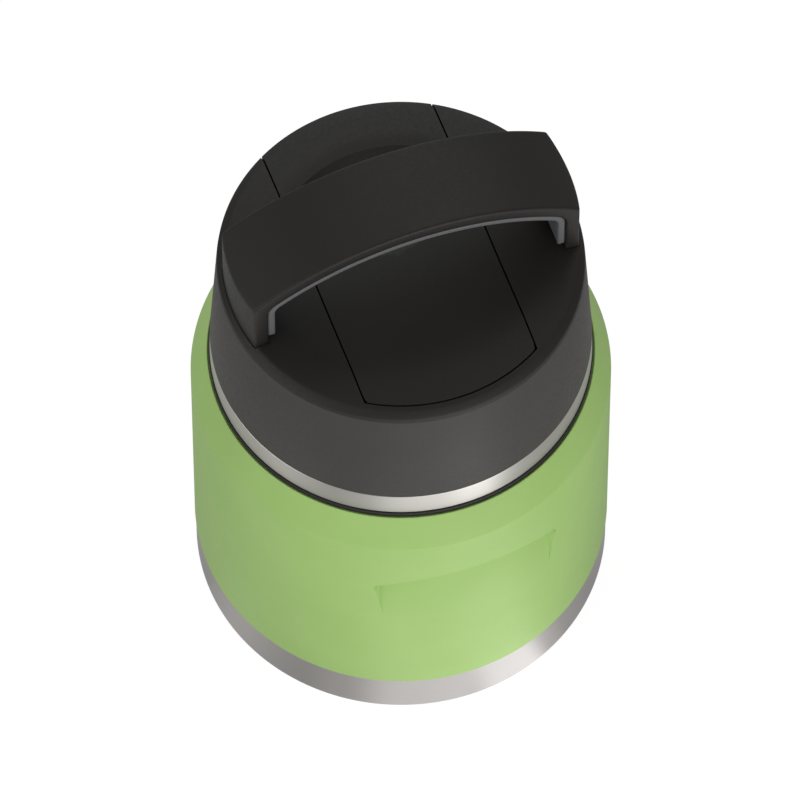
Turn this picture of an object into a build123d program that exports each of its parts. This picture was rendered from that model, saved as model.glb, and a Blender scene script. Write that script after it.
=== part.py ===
from build123d import *

import os
from math import sqrt

# Insulated food jar, standing on its base: a double-walled steel vacuum jar with a screw lid.
# The lid carries a fixed arch handle, and under the handle a sliding door over a spoon tray.
# Millimetres. The origin is the centre of the base, +Z is up, -Y is the front, and the handle runs along X.

os.makedirs("parts", exist_ok=True)

# ---- Jar sizes ----
body_radius = 50.2
steel_wall = 0.6
weld_gap = 0.05  # between steel pieces that are welded or soldered together
band_height = 12.8  # bare steel at the foot of the jar
band_step = 0.25  # the coated wall stands this much proud of the bare band
band_wall = 1.0
foot_chamfer = 0.4
foot_ring_width = 7.1
foot_hollow = 1.2
lip_height = 3.0  # tucked-in edge of the base cup, inside the outer shell
wall_height = 79.0  # base to the edge of the shoulder
shoulder_rise = 8.7
shoulder_inset = 4.0
shoulder_round = 1.6
neck_inset = 5.0  # from the top of the shoulder in to the neck
neck_height = 11.8
neck_gap = 0.7  # vacuum gap between the two walls of the neck
vacuum_gap = 3.6  # between the two walls of the jar
vacuum_floor = 7.5  # from the base plate up to the inner vessel
inner_floor_bend = 9.0  # the bend round the floor is drawn as two cones
plug_hole_radius = 2.0
plug_head_radius = 4.0
plug_head_height = 1.2
plug_sink = 0.2  # plug below the face of the base
getter_radius = 7.0
getter_height = 2.6
getter_chamfer = 0.8
getter_place = 18.0

# ---- Name-plate recess in the front of the jar, bare ----
plate_top = 58.3
plate_bottom = 43.4
plate_top_width = 46.4
plate_bottom_width = 41.2
plate_depth = 1.0
plate_corner = 1.5

# ---- Lid sizes ----
lid_gap = 0.9  # shadow gap between the shoulder and the closed lid
ring_inset = 0.66
ring_height = 7.2
ring_wall = 0.5
ring_taper = 0.14
ring_hem = 1.5
cone_height = 32.0
cone_taper = 1.94
cone_wall = 1.6
skirt_wall = 1.05
part_gap = 0.05  # between moulded pieces that are pressed or welded together
collar_wall = 1.5
deck_wall = 1.8
rim_seal_height = 1.35
seal_gap = 0.3  # between a seal and the pieces it turns or slides against
plug_inset = 0.9  # from the mouth in to the plug
plug_wall = 1.8
plug_depth = 11.5  # below the rim
plug_lead = 1.4
plug_groove = 0.8
plug_seal_height = 3.4
plug_seal_rise = 2.9
plug_seal_lip = 0.4

# ---- Lid cover and spoon door ----
cover_edge_height = 2.45
cover_edge_draft = 0.26
cover_edge_round = 1.35
crown_radius = 390.0
dish_radius = 33.0
dish_depth = 1.2
cover_wall = 2.2
cover_skirt_wall = 1.1
cover_skirt_drop = 3.0
cover_skirt_inset = 0.16
cover_rib = 3.2  # solid edge of the cover on each side of the door
door_width = 42.36
door_front_margin = 3.35  # from the edge of the lid in to the front edge of the door
door_corner = 1.6
door_seam = 0.4
door_rib = 1.6
door_rest_gap = 0.15  # between the door and the tray flange that it slides on
rail_width = 1.3  # rail along each side of the door, in a groove of the cover
rail_gap = 0.1
rail_side_gap = 0.2
rail_front = -28.0
tab_depth = 5.4  # back edge of the door that drops into the lid's rim
scoop_radius = 30.0  # back wall of the finger scoop in the door
scoop_place = 20.0  # from the jar's axis back to the deepest point of the scoop
scoop_reach = 20.0
scoop_depth = 2.6
scoop_lean = 0.75  # outward run of the scoop's back wall for each millimetre of rise
scoop_skin = 1.33

# ---- Spoon tray and folding spoon ----
tray_inset = 4.3  # from the door's side edge in to the inside of the tray
tray_front_inset = 4.7
tray_back_margin = 11.36  # from the edge of the lid in to the inside of the tray
tray_depth = 14.1
tray_wall = 1.5
tray_flange = 3.2
tray_corner = 4.0
foam_gap = 0.2
spoon_clearance = 1.2
bowl_length = 46.0
bowl_depth = 6.0
spoon_sheet = 1.2
stem_width = 10.0
spoon_handle_width = 13.0
spoon_handle_sheet = 1.6
rivet_radius = 2.0
rivet_head_radius = 3.2
rivet_head_height = 0.7

# ---- Handle ----
handle_width = 22.8
handle_crown = 32.5  # top of the arch above the parting line of the cover
handle_rise = 14.5  # crown of the arch above the tops of its ends
handle_inset = 1.46  # from the edge of the lid in to the ends of the handle
handle_leg = 5.0
handle_strap = 3.6
handle_corner = 1.5
handle_seat = 1.8  # bottom of the legs above the parting line
handle_seat_gap = 0.15
seat_pad_wall = 2.3
liner_wall = 1.85
liner_bend = 3.0
liner_side_step = 0.3
liner_toe_height = 1.7
toe_gap = 0.25
screw_place = 2.0  # from the inner face of a leg out to its screw
screw_shank_radius = 1.4
screw_fit = 0.02
screw_length = 12.0
screw_head_radius = 2.5
screw_head_height = 1.8

# ---- Heights and radii that follow ----
shoulder_z = wall_height + shoulder_rise
shoulder_top_radius = body_radius - shoulder_inset
neck_radius = shoulder_top_radius - neck_inset
mouth_radius = neck_radius - 2 * steel_wall - neck_gap
rim_z = shoulder_z + neck_height
inner_radius = body_radius - 2 * steel_wall - vacuum_gap
base_plate_top = foot_hollow + band_wall
inner_floor_z = base_plate_top + vacuum_floor + steel_wall
shell_inner_radius = body_radius - steel_wall

ring_z = shoulder_z + lid_gap
ring_radius = shoulder_top_radius - ring_inset
cone_z = ring_z + ring_height
cone_radius = ring_radius - ring_taper
skirt_radius = cone_radius - ring_wall
skirt_inner_radius = skirt_radius - skirt_wall
skirt_z = ring_z + ring_wall + part_gap
parting_z = cone_z + cone_height
lid_radius = cone_radius - cone_taper
lid_inner_radius = lid_radius - cone_wall

collar_radius = skirt_inner_radius - part_gap
collar_bore = collar_radius - collar_wall
rim_seal_z = rim_z + weld_gap
deck_z = rim_seal_z + rim_seal_height + seal_gap
deck_top = deck_z + deck_wall
plug_radius = mouth_radius - plug_inset
plug_z = rim_z - plug_depth
plug_seal_z = plug_z + plug_seal_rise

cover_edge_z = parting_z + cover_edge_height
cover_top_radius = lid_radius - cover_edge_draft
crown_centre_z = cover_edge_z - sqrt(crown_radius**2 - cover_top_radius**2)
dish_edge_z = crown_centre_z + sqrt(crown_radius**2 - dish_radius**2)
dish_floor_z = dish_edge_z - dish_depth
dish_sphere = (dish_radius**2 + dish_depth**2) / (2 * dish_depth)
dish_centre_z = dish_floor_z + dish_sphere
scoop_edge_z = dish_centre_z - sqrt(dish_sphere**2 - scoop_radius**2)
scoop_floor_z = dish_centre_z - sqrt(dish_sphere**2 - scoop_place**2) - scoop_depth
scoop_sphere = (scoop_reach**2 + scoop_depth**2) / (2 * scoop_depth)
door_z = scoop_floor_z - scoop_skin
flange_z = door_z - door_rest_gap
cap_depth = parting_z - flange_z
door_half = door_width / 2
door_front = lid_radius - door_front_margin
rail_half = door_half + rail_width
groove_half = rail_half + rail_side_gap
opening_half = door_half + door_seam
opening_front = door_front + door_seam
skirt_ring_radius = lid_inner_radius - cover_skirt_inset

tray_half = door_half - tray_inset
tray_front = door_front - tray_front_inset
tray_back = lid_radius - tray_back_margin
tray_floor_z = flange_z - tray_depth

handle_half = handle_width / 2
handle_radius = lid_radius - handle_inset
handle_inner = handle_radius - handle_leg
handle_top_z = parting_z + handle_crown
arch_radius = (handle_radius**2 + handle_rise**2) / (2 * handle_rise)
arch_centre_z = handle_top_z - arch_radius
seat_z = parting_z + handle_seat
pad_z = seat_z - seat_pad_wall
screw_x = handle_inner + screw_place


def turn(*corners, mode=Mode.ADD):
    """A piece turned about the jar's axis. A corner is (radius, height), or (radius, height, rounding)."""
    with BuildSketch(Plane.XZ) as section:
        with BuildLine():
            FilletPolyline(
                *[corner[:2] for corner in corners],
                radius=[(*corner, 0)[2] for corner in corners],
                close=True,
            )
        make_face()
    revolve(section.sketch, axis=Axis.Z, mode=mode)


def tongue(half_width, front_radius, corner, back=body_radius):
    """Plan of the spoon door: straight sides, and a front edge concentric with the lid."""
    with BuildSketch() as plan:
        Circle(front_radius)
        with Locations((0, back / 2)):
            Rectangle(2 * front_radius, back)
        with Locations((0, (back - front_radius) / 2)):
            Rectangle(2 * half_width, back + front_radius, mode=Mode.INTERSECT)
        fillet(plan.vertices().group_by(Axis.Y)[0], corner)
    return plan.sketch


def save(piece, name):
    piece.part.label = name
    export_step(piece.part, f"parts/{name}.step")


# ---- Base cup: bare steel foot of the jar, pressed from sheet and welded into the shell ----
band_radius = body_radius - band_step
lip_radius = shell_inner_radius - weld_gap
foot_inner = band_radius - foot_chamfer - foot_ring_width
with BuildPart() as base_cup:
    turn(
        (0, foot_hollow),
        (foot_inner - foot_hollow, foot_hollow),
        (foot_inner, 0),
        (band_radius - foot_chamfer, 0),
        (band_radius, foot_chamfer),
        (band_radius, band_height),
        (lip_radius, band_height),
        (lip_radius, band_height + lip_height),
        (lip_radius - steel_wall, band_height + lip_height),
        (lip_radius - steel_wall, band_wall),
        (foot_inner + band_wall, band_wall),
        (foot_inner - band_wall, base_plate_top),
        (0, base_plate_top),
    )
    with Locations((0, 0, base_plate_top)):
        Hole(plug_hole_radius, depth=base_plate_top)
save(base_cup, "base_cup")

# ---- Vacuum plug: glass-solder bead that seals the hole the air was drawn from ----
with BuildPart() as vacuum_plug:
    turn(
        (0, foot_hollow + plug_sink),
        (plug_hole_radius - weld_gap, foot_hollow + plug_sink),
        (plug_hole_radius - weld_gap, base_plate_top + weld_gap),
        (plug_head_radius, base_plate_top + weld_gap),
        (plug_hole_radius, base_plate_top + plug_head_height),
        (0, base_plate_top + plug_head_height),
    )
save(vacuum_plug, "vacuum_plug")

# ---- Outer shell: coated steel wall with a coned shoulder and the name-plate recess ----
with BuildPart() as plate_prism:
    with BuildSketch(Plane.XZ):
        with BuildLine():
            Polyline(
                (-plate_bottom_width / 2, plate_bottom - 1),
                (plate_bottom_width / 2, plate_bottom - 1),
                (plate_top_width / 2, plate_top),
                (-plate_top_width / 2, plate_top),
                close=True,
            )
        make_face()
    extrude(amount=body_radius + 1)
    fillet(plate_prism.edges().filter_by(Axis.Y).group_by(Axis.Z)[-1], plate_corner)
with BuildPart() as plate_cut:
    turn(
        (body_radius - plate_depth, plate_top - plate_depth),
        (body_radius + 1, plate_top + 1),
        (body_radius + 1, plate_bottom - 1),
        (body_radius + plate_depth / 10, plate_bottom - 1),
    )
    add(plate_prism.part, mode=Mode.INTERSECT)
with BuildPart() as plate_backing:
    turn(
        (body_radius - plate_depth - steel_wall, plate_top + steel_wall),
        (body_radius - steel_wall / 2, plate_top + steel_wall),
        (body_radius - steel_wall / 2, plate_bottom - 1),
        (shell_inner_radius, plate_bottom - 1),
    )
    with BuildSketch(Plane.XZ):
        with Locations((0, (plate_top + plate_bottom) / 2)):
            Rectangle(plate_top_width + 4 * steel_wall, 2 * plate_top)
    extrude(amount=body_radius + 1, mode=Mode.INTERSECT)
with BuildPart() as outer_shell:
    turn(
        (shell_inner_radius, band_height + weld_gap),
        (body_radius, band_height + weld_gap),
        (body_radius, wall_height, shoulder_round),
        (shoulder_top_radius, shoulder_z),
        (neck_radius + weld_gap, shoulder_z),
        (neck_radius + weld_gap, shoulder_z - steel_wall),
        (shoulder_top_radius - steel_wall / 2, shoulder_z - steel_wall),
        (shell_inner_radius, wall_height - steel_wall / 3),
    )
    add(plate_backing.part)
    add(plate_cut.part, mode=Mode.SUBTRACT)
save(outer_shell, "outer_shell")

# ---- Neck ring: bare steel neck that carries the lid's thread ----
with BuildPart() as neck_ring:
    turn(
        (neck_radius - steel_wall, shoulder_z - 2 * steel_wall),
        (neck_radius, shoulder_z - 2 * steel_wall),
        (neck_radius, rim_z - 2 * steel_wall),
        (neck_radius - steel_wall, rim_z - 2 * steel_wall),
    )
save(neck_ring, "neck_ring")

# ---- Inner vessel: the food cup, with a rolled rim that closes the neck ----
vessel_shoulder_z = wall_height - 3 * steel_wall
vessel_neck_z = shoulder_z - 4 * steel_wall
vessel_radius = inner_radius + steel_wall
outer_bend = inner_floor_bend + steel_wall
half_turn = 1 - sqrt(0.5)  # share of a bend that is left at its middle
with BuildPart() as inner_vessel:
    turn(
        (0, inner_floor_z - steel_wall),
        (vessel_radius - outer_bend, inner_floor_z - steel_wall),
        (vessel_radius - outer_bend * half_turn, inner_floor_z - steel_wall + outer_bend * half_turn),
        (vessel_radius, inner_floor_z - steel_wall + outer_bend),
        (vessel_radius, vessel_shoulder_z),
        (mouth_radius + steel_wall, vessel_neck_z),
        (mouth_radius + steel_wall, rim_z - 2 * steel_wall + weld_gap),
        (neck_radius, rim_z - 2 * steel_wall + weld_gap),
        (neck_radius, rim_z - steel_wall),
        (neck_radius - steel_wall, rim_z),
        (mouth_radius + steel_wall, rim_z),
        (mouth_radius, rim_z - steel_wall),
        (mouth_radius, vessel_neck_z),
        (inner_radius, vessel_shoulder_z),
        (inner_radius, inner_floor_z + inner_floor_bend),
        (inner_radius - inner_floor_bend * half_turn, inner_floor_z + inner_floor_bend * half_turn),
        (inner_radius - inner_floor_bend, inner_floor_z),
        (0, inner_floor_z),
    )
save(inner_vessel, "inner_vessel")

# ---- Getter: pellet that soaks up stray gas, spot-welded under the inner vessel ----
getter_top = inner_floor_z - steel_wall - weld_gap
with BuildPart() as getter:
    with BuildSketch(Plane.XY.offset(getter_top - getter_height)):
        with Locations((getter_place, 0)):
            Circle(getter_radius)
    extrude(amount=getter_height)
    chamfer(getter.faces().sort_by(Axis.Z)[0].edges(), getter_chamfer)
save(getter, "getter")

# ---- Rim seal: flat silicone ring that the lid presses on the rim ----
with BuildPart() as rim_seal:
    turn(
        (plug_radius + seal_gap, rim_seal_z),
        (neck_radius, rim_seal_z),
        (neck_radius + 2 * weld_gap, rim_seal_z + rim_seal_height / 2),
        (neck_radius, rim_seal_z + rim_seal_height),
        (plug_radius + seal_gap, rim_seal_z + rim_seal_height),
    )
save(rim_seal, "rim_seal")

# ---- Plug seal: silicone wiper ring in the groove of the plug ----
groove_radius = plug_radius - plug_groove
plug_seal_inner = groove_radius + seal_gap
plug_seal_radius = mouth_radius - seal_gap
with BuildPart() as plug_seal:
    turn(
        (plug_seal_inner, plug_seal_z),
        (plug_seal_radius - plug_seal_lip, plug_seal_z),
        (plug_seal_radius, plug_seal_z + plug_seal_height / 4),
        (plug_seal_radius - plug_seal_lip, plug_seal_z + plug_seal_height / 2),
        (plug_seal_radius, plug_seal_z + plug_seal_height * 3 / 4),
        (plug_seal_radius - plug_seal_lip, plug_seal_z + plug_seal_height),
        (plug_seal_inner, plug_seal_z + plug_seal_height),
    )
save(plug_seal, "plug_seal")

# ---- Stopper: one moulding with the threaded collar, the deck over the rim and the hollow plug ----
with BuildPart() as stopper:
    turn(
        (0, plug_z),
        (plug_radius - plug_lead, plug_z),
        (plug_radius, plug_z + plug_lead),
        (plug_radius, plug_seal_z - seal_gap),
        (groove_radius, plug_seal_z - seal_gap),
        (groove_radius, plug_seal_z + plug_seal_height + seal_gap),
        (plug_radius, plug_seal_z + plug_seal_height + seal_gap),
        (plug_radius, deck_z),
        (collar_bore, deck_z),
        (collar_bore, skirt_z),
        (collar_radius, skirt_z),
        (collar_radius, deck_top),
        (groove_radius - plug_wall, deck_top),
        (groove_radius - plug_wall, plug_z + plug_wall),
        (0, plug_z + plug_wall),
    )
save(stopper, "stopper")

# ---- Lid foam: insulation that fills the plug and the space below the spoon tray ----
foam_radius = groove_radius - plug_wall - foam_gap
foam_top = tray_floor_z - tray_wall - foam_gap
with BuildPart() as lid_foam:
    turn(
        (0, plug_z + plug_wall + foam_gap),
        (foam_radius, plug_z + plug_wall + foam_gap),
        (foam_radius, foam_top),
        (0, foam_top),
    )
save(lid_foam, "lid_foam")

# ---- Trim ring: steel band round the foot of the lid, hemmed under the skirt ----
with BuildPart() as lid_trim_ring:
    turn(
        (ring_radius - ring_hem, ring_z),
        (ring_radius, ring_z),
        (cone_radius, cone_z),
        (cone_radius - ring_wall + part_gap, cone_z),
        (cone_radius - ring_wall + part_gap, ring_z + ring_wall),
        (ring_radius - ring_hem, ring_z + ring_wall),
    )
save(lid_trim_ring, "lid_trim_ring")

# ---- Lid shell: coned grey wall of the lid, with a gap in its rim where the door slides out at the back ----
shell_step_z = deck_top + part_gap
with BuildPart() as lid_shell:
    turn(
        (skirt_inner_radius, skirt_z),
        (skirt_radius, skirt_z),
        (skirt_radius, cone_z + part_gap),
        (cone_radius, cone_z + part_gap),
        (lid_radius, parting_z),
        (lid_inner_radius, parting_z),
        (collar_radius - cone_wall / 2, shell_step_z + cone_wall / 2),
        (skirt_inner_radius, shell_step_z),
    )
    with Locations((0, lid_radius, parting_z)):
        Box(2 * groove_half, lid_radius, 2 * cap_depth, mode=Mode.SUBTRACT)
save(lid_shell, "lid_shell")

# ---- Crowned and dished cap that the cover and the spoon door are both cut from ----
def cap_section(depth, skirt_drop=0):
    """Section of the cap, its crowned top set down by a depth, with a skirt below if asked for."""
    crown = crown_radius - depth
    edge_z = crown_centre_z + sqrt(crown**2 - cover_top_radius**2)
    mid_z = crown_centre_z + sqrt(crown**2 - (cover_top_radius / 2) ** 2)
    skirt_z = flange_z - skirt_drop
    skirt_inner = skirt_ring_radius - cover_skirt_wall
    skirt = [(skirt_inner, flange_z), (skirt_inner, skirt_z)] if skirt_drop else []
    with BuildSketch(Plane.XZ) as section:
        with BuildLine():
            Polyline(
                (0, crown_centre_z + crown),
                (0, flange_z),
                *skirt,
                (skirt_ring_radius, skirt_z),
                (skirt_ring_radius, parting_z),
                (lid_radius, parting_z),
                (cover_top_radius, edge_z),
            )
            ThreePointArc((cover_top_radius, edge_z), (cover_top_radius / 2, mid_z), (0, crown_centre_z + crown))
        make_face()
        if depth == 0:
            top_edge = section.vertices().filter_by(lambda v: abs(v.X - cover_top_radius) < 0.01)
            fillet(top_edge, cover_edge_round)
    return section.sketch


def cut_dish(depth=0):
    """Presses the dish into the part, set down by a depth."""
    with Locations((0, 0, dish_centre_z)):
        Sphere(dish_sphere + depth, rotation=(90, 0, 0), mode=Mode.SUBTRACT)


with BuildPart() as cap:
    revolve(cap_section(0), axis=Axis.Z)
    cut_dish()
with BuildPart() as cap_hollow:
    revolve(cap_section(cover_wall), axis=Axis.Z)
    cut_dish(cover_wall)

# ---- Lid cover: black C-shaped top, with a skirt inside the lid shell, grooves for the door and handle seats ----
def leg_plan(gap):
    """Plan of the two legs of the handle, with a gap all round."""
    with BuildSketch() as plan:
        Circle(handle_radius + gap)
        Rectangle(4 * handle_radius, handle_width + 2 * gap, mode=Mode.INTERSECT)
        Rectangle(2 * (handle_inner - gap), 2 * handle_width, mode=Mode.SUBTRACT)
    return plan.sketch


with BuildPart() as cover_hollow:
    with BuildSketch(Plane.XY.offset(flange_z)):
        Circle(skirt_ring_radius - cover_skirt_wall)
        add(tongue(opening_half + cover_rib, opening_front + door_rib, door_corner), mode=Mode.SUBTRACT)
        add(leg_plan(cover_skirt_wall), mode=Mode.SUBTRACT)
    extrude(amount=2 * cover_edge_height + cap_depth)
    add(cap_hollow.part, mode=Mode.INTERSECT)
with BuildPart() as lid_cover:
    revolve(cap_section(0, cover_skirt_drop - cap_depth), axis=Axis.Z)
    cut_dish()
    add(cover_hollow.part, mode=Mode.SUBTRACT)
    with BuildSketch(Plane.XY.offset(parting_z - 2 * cover_skirt_drop)):
        add(tongue(opening_half, opening_front, door_corner + door_seam))
    extrude(amount=4 * cover_skirt_drop, mode=Mode.SUBTRACT)
    with BuildSketch(Plane.XY.offset(parting_z)):
        with Locations((0, rail_front - rail_side_gap)):
            Rectangle(2 * groove_half, 2 * lid_radius, align=(Align.CENTER, Align.MIN))
    extrude(amount=-2 * cover_skirt_drop, mode=Mode.SUBTRACT)
    with BuildSketch(Plane.XY.offset(pad_z)):
        Rectangle(4 * lid_radius, 4 * screw_head_radius)
        Rectangle(2 * (handle_inner - 2 * cover_skirt_wall), 2 * handle_width, mode=Mode.SUBTRACT)
    extrude(amount=-2 * cover_skirt_drop, mode=Mode.SUBTRACT)
    with BuildSketch(Plane.XY.offset(seat_z)):
        add(leg_plan(handle_seat_gap))
    extrude(amount=handle_crown, mode=Mode.SUBTRACT)
    with BuildSketch(Plane.XY.offset(pad_z)):
        with GridLocations(2 * screw_x, 0, 2, 1):
            Circle(screw_shank_radius + screw_fit)
    extrude(amount=handle_crown, mode=Mode.SUBTRACT)
save(lid_cover, "lid_cover")

# ---- Spoon door: the tongue of the cap, with rails at its sides, a tab at the back and a finger scoop ----
with BuildPart() as door_hollow:
    with BuildSketch(Plane.XY.offset(flange_z)):
        add(tongue(door_half - door_rib, door_front - door_rib, door_corner, back=scoop_place))
        with Locations((0, scoop_place - scoop_reach - door_rib)):
            Rectangle(2 * door_width, 2 * scoop_reach, align=(Align.CENTER, Align.MIN), mode=Mode.SUBTRACT)
    extrude(amount=2 * cover_edge_height + cap_depth)
    add(cap_hollow.part, mode=Mode.INTERSECT)
with BuildPart() as scoop:
    turn(
        (0, door_z),
        (scoop_radius - scoop_lean * (scoop_edge_z - door_z), door_z),
        (scoop_radius + scoop_lean * cover_wall, scoop_edge_z + cover_wall),
        (0, scoop_edge_z + cover_wall),
    )
    with Locations((0, scoop_place, scoop_floor_z + scoop_sphere)):
        Sphere(scoop_sphere, rotation=(90, 0, 0), mode=Mode.INTERSECT)
with BuildPart() as spoon_door:
    with BuildSketch(Plane.XY.offset(door_z)):
        add(tongue(door_half, door_front, door_corner))
    extrude(amount=2 * cover_edge_height + cap_depth)
    add(cap.part, mode=Mode.INTERSECT)
    add(door_hollow.part, mode=Mode.SUBTRACT)
    with BuildSketch(Plane.XY.offset(door_z)):
        Circle(lid_radius - part_gap)
        with Locations((0, rail_front)):
            Rectangle(2 * rail_half, 2 * lid_radius, align=(Align.CENTER, Align.MIN), mode=Mode.INTERSECT)
            Rectangle(
                door_width - 2 * door_rib,
                lid_radius - tab_depth - rail_front,
                align=(Align.CENTER, Align.MIN),
                mode=Mode.SUBTRACT,
            )
    extrude(amount=parting_z - rail_gap - door_z)
    with BuildSketch(Plane.XY.offset(door_z)):
        Circle(lid_radius - part_gap)
        with Locations((0, lid_radius - tab_depth)):
            Rectangle(door_width, lid_radius, align=(Align.CENTER, Align.MIN), mode=Mode.INTERSECT)
    extrude(amount=cap_depth)
    add(scoop.part, mode=Mode.SUBTRACT)
save(spoon_door, "spoon_door")

# ---- Spoon tray: open box under the door, with a flange that the door closes on ----
with BuildPart() as spoon_tray:
    with BuildSketch(Plane.XY.offset(tray_floor_z - tray_wall)):
        add(
            tongue(
                tray_half + tray_wall,
                tray_front + tray_wall,
                tray_corner + tray_wall,
                back=tray_back + tray_wall,
            )
        )
    extrude(amount=flange_z - tray_floor_z + tray_wall)
    with BuildSketch(Plane.XY.offset(flange_z - tray_wall)):
        add(tongue(opening_half + tray_flange, opening_front + door_rib / 2, door_corner))
        Circle(skirt_ring_radius - cover_skirt_wall - part_gap, mode=Mode.INTERSECT)
    extrude(amount=tray_wall - part_gap)
    with BuildSketch(Plane.XY.offset(tray_floor_z)):
        add(tongue(tray_half, tray_front, tray_corner, back=tray_back))
    extrude(amount=2 * tray_depth, mode=Mode.SUBTRACT)
    with Locations((0, 0, flange_z - part_gap)):
        Box(
            4 * lid_radius,
            4 * lid_radius,
            tray_depth,
            align=(Align.CENTER, Align.CENTER, Align.MIN),
            mode=Mode.SUBTRACT,
        )
    fillet(spoon_tray.faces().filter_by(Axis.Z).sort_by(Axis.Z)[0].edges(), tray_wall * 0.8)
save(spoon_tray, "spoon_tray")

# ---- Folding spoon, lying folded in the tray ----
bowl_width = 2 * (tray_half - spoon_clearance)
bowl_front = -(tray_front - spoon_clearance)
bowl_centre = bowl_front + bowl_length / 2
bowl_top = tray_floor_z + foam_gap + bowl_depth + spoon_sheet
rivet_y = tray_back - spoon_clearance - spoon_handle_width / 2
handle_gap = 0.15


def bowl_form(inset):
    """Half of a spindle below the bowl's rim: a long arc turned about a line that lies along the spoon."""
    half_width = bowl_width / 2 - inset
    half_length = bowl_length / 2 - inset
    depth = bowl_depth + spoon_sheet - inset
    belly = (half_width**2 + depth**2) / (2 * depth)
    axis_z = bowl_top + belly - depth
    with BuildSketch(Plane.YZ) as section:
        with BuildLine():
            ThreePointArc(
                (bowl_centre - half_length, bowl_top),
                (bowl_centre, bowl_top - depth),
                (bowl_centre + half_length, bowl_top),
            )
            Polyline(
                (bowl_centre - half_length, bowl_top),
                (bowl_centre - half_length, axis_z),
                (bowl_centre + half_length, axis_z),
                (bowl_centre + half_length, bowl_top),
            )
        make_face()
    revolve(section.sketch, axis=Axis((0, 0, axis_z), (0, 1, 0)))
    with Locations((0, bowl_centre, bowl_top)):
        Box(4 * belly, 2 * bowl_length, 4 * belly, align=(Align.CENTER, Align.CENTER, Align.MIN), mode=Mode.SUBTRACT)


with BuildPart() as bowl_core:
    bowl_form(spoon_sheet)
with BuildPart() as spoon_bowl:
    bowl_form(0)
    with BuildSketch(Plane.XY.offset(bowl_top - spoon_sheet)):
        with Locations((0, (rivet_y + bowl_centre) / 2)):
            Rectangle(stem_width, rivet_y - bowl_centre)
        with Locations((0, rivet_y)):
            Circle(stem_width / 2)
    extrude(amount=spoon_sheet)
    add(bowl_core.part, mode=Mode.SUBTRACT)
    with BuildSketch(Plane.XY.offset(bowl_top)):
        with Locations((0, rivet_y)):
            Circle(rivet_radius + weld_gap)
    extrude(amount=-2 * spoon_sheet, mode=Mode.SUBTRACT)
save(spoon_bowl, "spoon_bowl")

spoon_handle_z = bowl_top + handle_gap
tip_y = spoon_handle_width / 2 - (tray_front - 2 * spoon_clearance)
with BuildPart() as spoon_handle:
    with BuildSketch(Plane.XY.offset(spoon_handle_z)):
        with Locations((0, (rivet_y + tip_y) / 2)):
            SlotCenterToCenter(rivet_y - tip_y, spoon_handle_width, rotation=90)
        with Locations((0, rivet_y)):
            Circle(rivet_radius + weld_gap, mode=Mode.SUBTRACT)
    extrude(amount=spoon_handle_sheet)
save(spoon_handle, "spoon_handle")

with BuildPart() as spoon_rivet:
    with BuildSketch(Plane.XY.offset(bowl_top - spoon_sheet - weld_gap - rivet_head_height)):
        with Locations((0, rivet_y)):
            Circle(rivet_head_radius)
    extrude(amount=rivet_head_height)
    with BuildSketch(Plane.XY.offset(bowl_top - spoon_sheet - weld_gap)):
        with Locations((0, rivet_y)):
            Circle(rivet_radius)
    extrude(amount=spoon_sheet + handle_gap + spoon_handle_sheet + 2 * weld_gap)
    with BuildSketch(Plane.XY.offset(spoon_handle_z + spoon_handle_sheet + weld_gap)):
        with Locations((0, rivet_y)):
            Circle(rivet_head_radius)
    extrude(amount=rivet_head_height)
save(spoon_rivet, "spoon_rivet")


# ---- Handle: arched strap on two legs that stand in seats in the cover ----
def arch_section(foot_z, outer_x, outer_radius, outer_round, inner_x, inner_radius, inner_round):
    """Section of an arched strap and its two legs, drawn in the XZ plane."""
    outer_z = arch_centre_z + sqrt(outer_radius**2 - outer_x**2)
    inner_z = arch_centre_z + sqrt(inner_radius**2 - inner_x**2)
    with BuildSketch(Plane.XZ) as section:
        with BuildLine():
            Line((-outer_x, foot_z), (-outer_x, outer_z))
            ThreePointArc((-outer_x, outer_z), (0, arch_centre_z + outer_radius), (outer_x, outer_z))
            Polyline((outer_x, outer_z), (outer_x, foot_z), (inner_x, foot_z), (inner_x, inner_z))
            ThreePointArc((inner_x, inner_z), (0, arch_centre_z + inner_radius), (-inner_x, inner_z))
            Polyline((-inner_x, inner_z), (-inner_x, foot_z), (-outer_x, foot_z))
        make_face()
        for bend_x, bend_z, rounding in ((outer_x, outer_z, outer_round), (inner_x, inner_z, inner_round)):
            bends = section.vertices().filter_by(lambda v: abs(abs(v.X) - bend_x) < 0.01)
            if rounding:
                fillet(bends.filter_by(lambda v: abs(v.Y - bend_z) < 0.01), rounding)
    return section.sketch


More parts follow.
